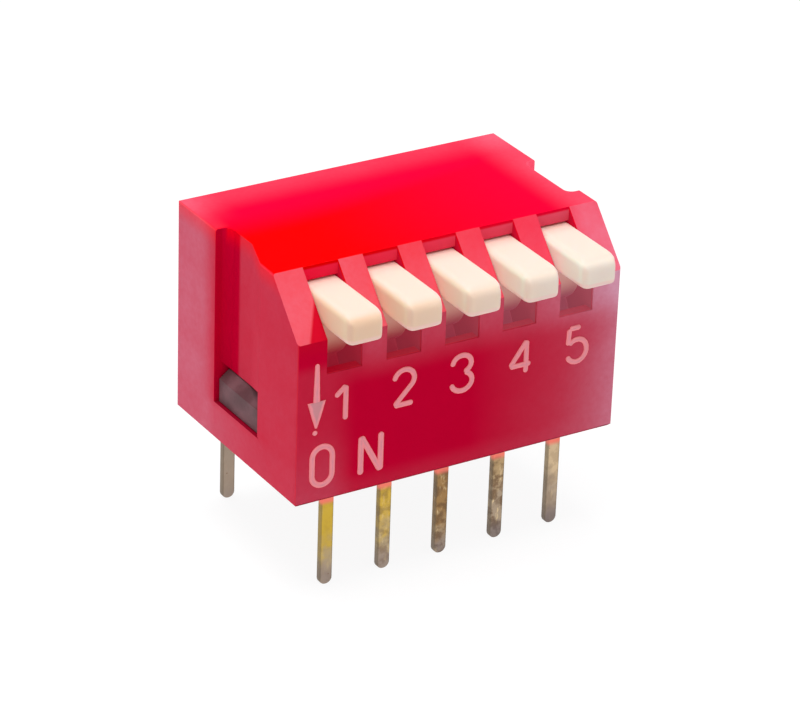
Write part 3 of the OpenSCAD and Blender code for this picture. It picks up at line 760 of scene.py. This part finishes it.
def inkPaths():
    # every stroke as points in X and Z, and its line widths at its two ends
    strokes = []

    def draw(x, z, path, start, end=None):
        strokes.append(([(x + px, z + pz) for px, pz in path], start, end or start))

    for number in range(ways):
        for path in numberPaths[number]:
            draw(switchX(number + 1), inkLook["numberZ"], path, inkLook["numberLine"])
    halfX, halfZ = inkLook["wordHalf"]
    loopX, lettersX = (switchX(1) + x for x in inkLook["wordX"])
    loop = (arcPath((0, halfZ - halfX), (halfX, halfX), 0, 180)
            + arcPath((0, halfX - halfZ), (halfX, halfX), 180, 360))
    draw(loopX, inkLook["wordZ"], loop + loop[:1], inkLook["loopLine"])
    corners = [(-halfX, -halfZ), (-halfX, halfZ), (halfX, -halfZ), (halfX, halfZ)]
    for path in zip(corners, corners[1:]):
        draw(lettersX, inkLook["wordZ"], path, inkLook["wordLine"])
    tail, barb, tip = inkLook["arrowZ"]
    arrow = switchX(1) + inkLook["arrowX"]
    draw(arrow, 0, [(0, tail), (0, barb - inkLook["shaftGap"])], *inkLook["shaft"])
    draw(arrow, 0, [(0, barb), (0, tip)], inkLook["arrowHalf"] * 2, inkLook["arrowPoint"])
    draw(arrow, tip, [inkLook["dotFrom"], inkLook["dotTo"]], inkLook["dot"])
    return strokes


def inkTree():
    tree, net, start, get = newTree(
        "inkStrokes", height=inkLook["height"] * mm, wobble=inkLook["wobble"], step=inkLook["step"] * mm,
        frontY=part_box("marking")[1][1], seed=3.0, finish=None)
    width = net.node("GeometryNodeInputNamedAttribute", {"data_type": "FLOAT"}, {"Name": "lineWidth"})
    strokes = net.node("GeometryNodeMeshToCurve", None, {"Mesh": start})
    strokes = net.node("GeometryNodeResampleCurve", {"mode": "LENGTH"},
                       {"Curve": strokes, "Length": get("step")})
    # each end is drawn in along a quarter circle, and the edge wanders a little
    along = net.node("GeometryNodeSplineParameter", outlet="Length")
    total = net.node("GeometryNodeSplineLength")
    closed = net.node("GeometryNodeInputSplineCyclic")
    inset = net.smaller(net.smaller(along, total - along) / (width * 0.5), 1.0)
    rounded = net.maths("SQRT", net.larger(1 - (1 - inset) ** 2, 0.02))
    blunt = width > inkLook["arrowHalf"] * mm
    ends = net.larger(rounded, net.larger(closed, blunt))
    spot = net.node("GeometryNodeInputPosition")
    rough = net.noise(spot, inkLook["roughScale"], detail=3, seed=get("seed"))
    radius = width * 0.5 * ends * (1 + get("wobble") * 2 * (rough - 0.5))
    strokes = net.node("GeometryNodeSetCurveNormal", {"mode": "Z_UP"}, {"Curve": strokes})
    ring = net.node("GeometryNodeCurvePrimitiveCircle", None, {"Resolution": inkLook["sides"], "Radius": 1.0})
    x, y, z = net.axes(spot)
    ring = net.node("GeometryNodeStoreNamedAttribute", {"data_type": "FLOAT", "domain": "POINT"},
                    {"Geometry": ring, "Name": "across", "Value": abs(x)})
    tube = net.node("GeometryNodeCurveToMesh", None, {
        "Curve": strokes, "Profile Curve": ring, "Scale": radius, "Fill Caps": True})
    # the tubes are pressed flat, then stood up on the front face
    press = get("height") * 2 * (z / (abs(z) + get("height")))
    flat = net.node("GeometryNodeSetPosition", None, {
        "Geometry": tube, "Position": net.combined(x, get("frontY") - press, y)})
    endTree(net, flat, start)
    return tree


def makeMarks():
    shape = bmesh.new()
    widths = shape.verts.layers.float.new("lineWidth")
    for path, first, last in inkPaths():
        closed = math.dist(path[0], path[-1]) < 0.001
        points = [shape.verts.new((x * mm, z * mm, 0)) for x, z in (path[:-1] if closed else path)]
        for k, point in enumerate(points):
            share = k / (len(points) - 1)
            point[widths] = (first * (1 - share) + last * share) * mm
        for a, b in zip(points, points[1:] + (points[:1] if closed else [])):
            shape.edges.new((a, b))
    mesh = bpy.data.meshes.new("printedMarks")
    shape.to_mesh(mesh)
    shape.free()
    marks = newObject("printedMarks", mesh)
    grow(marks, inkTree(), finish=finishes["marking"])
    settle(marks, "marking", "body", ["marking"], inkLook["smoothAngle"])


makeCover()
makeBase()
makeLevers()
makeTerminals()
makeMarks()
print("pieces made")


floorLook = {"width": 3.0, "height": cadBox[0][2], "bounce": 0.8, "seen": 0.14, "glow": 0.9}


def makeFloor():
    side = floorLook["width"] / 2
    mesh = bpy.data.meshes.new("studioFloor")
    corners = [(-side, -side, 0), (side, -side, 0), (side, side, 0), (-side, side, 0)]
    mesh.from_pydata(corners, [], [(0, 1, 2, 3)])
    floor = newObject("studioFloor", mesh)
    floor.location.z = floorLook["height"]
    material, net = newMaterial("studioFloor")
    path = net.node("ShaderNodeLightPath", outlet="Is Camera Ray")
    direct = net.larger(path, net.larger(path.outlet("Is Glossy Ray"), path.outlet("Is Transmission Ray")))
    bounce, faint = (net.node("ShaderNodeBsdfDiffuse", None, {"Color": (floorLook[key],) * 3 + (1,)})
                     for key in ("bounce", "seen"))
    glow = net.node("ShaderNodeEmission", None, {"Color": (1, 1, 1, 1), "Strength": floorLook["glow"]})
    seen = net.node("ShaderNodeAddShader", None, {0: faint, 1: glow})
    both = net.node("ShaderNodeMixShader", None, {0: direct, 1: bounce, 2: seen})
    net.node("ShaderNodeOutputMaterial", None, {"Surface": both})
    mesh.materials.append(material)


worldLook = {
    # soft walls all round, less from the front, and a white backdrop low down for what is seen or mirrored
    "around": (0.58, 0.58, 0.6), "ahead": (0.61, 0.61, 0.62), "aheadFrom": (-0.2, -0.9),
    "mirroredLow": (1.0, 1.0, 1.0), "mirroredHigh": (0.25, 0.25, 0.26), "mirroredFrom": (0.12, 0.4),
    "backdrop": (1.0, 1.0, 1.0),
}


def makeWorld():
    world = bpy.data.worlds.new("studio")
    bpy.context.scene.world = world
    world.use_nodes = True
    net = Net(world.node_tree)
    path = net.node("ShaderNodeLightPath", outlet="Is Camera Ray")
    y, z = net.axes(net.node("ShaderNodeTexCoord", outlet="Generated"))[1:]
    ambient = net.mix(net.fade(y, *worldLook["aheadFrom"]), worldLook["around"], worldLook["ahead"])
    mirrored = net.mix(net.fade(z, *worldLook["mirroredFrom"]),
                       worldLook["mirroredLow"], worldLook["mirroredHigh"])
    seenInPart = net.larger(path.outlet("Is Glossy Ray"), path.outlet("Is Transmission Ray"))
    colour = net.mix(seenInPart, ambient, mirrored)
    colour = net.mix(path, colour, worldLook["backdrop"])
    back = net.node("ShaderNodeBackground", None, {"Color": colour, "Strength": 1.0})
    net.node("ShaderNodeOutputWorld", None, {"Surface": back})


lampLook = {"place": (-15, 5, 120), "aim": (0, 0, 4), "size": 90, "power": 0.12}


def makeLamp():
    lamp = bpy.data.lights.new("topLamp", "AREA")
    lamp.shape, lamp.size, lamp.energy, lamp.color = "DISK", lampLook["size"] * mm, lampLook["power"], (1, 1, 1)
    carrier = newObject("topLamp", lamp)
    carrier.location = Vector(lampLook["place"]) * mm
    toward = Vector(lampLook["aim"]) - Vector(lampLook["place"])
    carrier.rotation_euler = toward.to_track_quat("-Z", "Y").to_euler()


cameraLook = {"place": (-69.251, -111.067, 68.532), "turn": (63.1389, -1.824, -31.1533), "lens": 171.22,
              "sensor": 36, "clip": (0.001, 10)}


def makeCamera():
    data = bpy.data.cameras.new("studioCamera")
    data.sensor_width, data.lens = cameraLook["sensor"], cameraLook["lens"]
    data.clip_start, data.clip_end = cameraLook["clip"]
    camera = newObject("studioCamera", data)
    camera.location = Vector(cameraLook["place"]) * mm
    camera.rotation_euler = [math.radians(a) for a in cameraLook["turn"]]
    bpy.context.scene.camera = camera


makeFloor()
makeWorld()
makeLamp()
makeCamera()
bpy.context.scene.view_settings.view_transform = "Standard"
print("studio made")
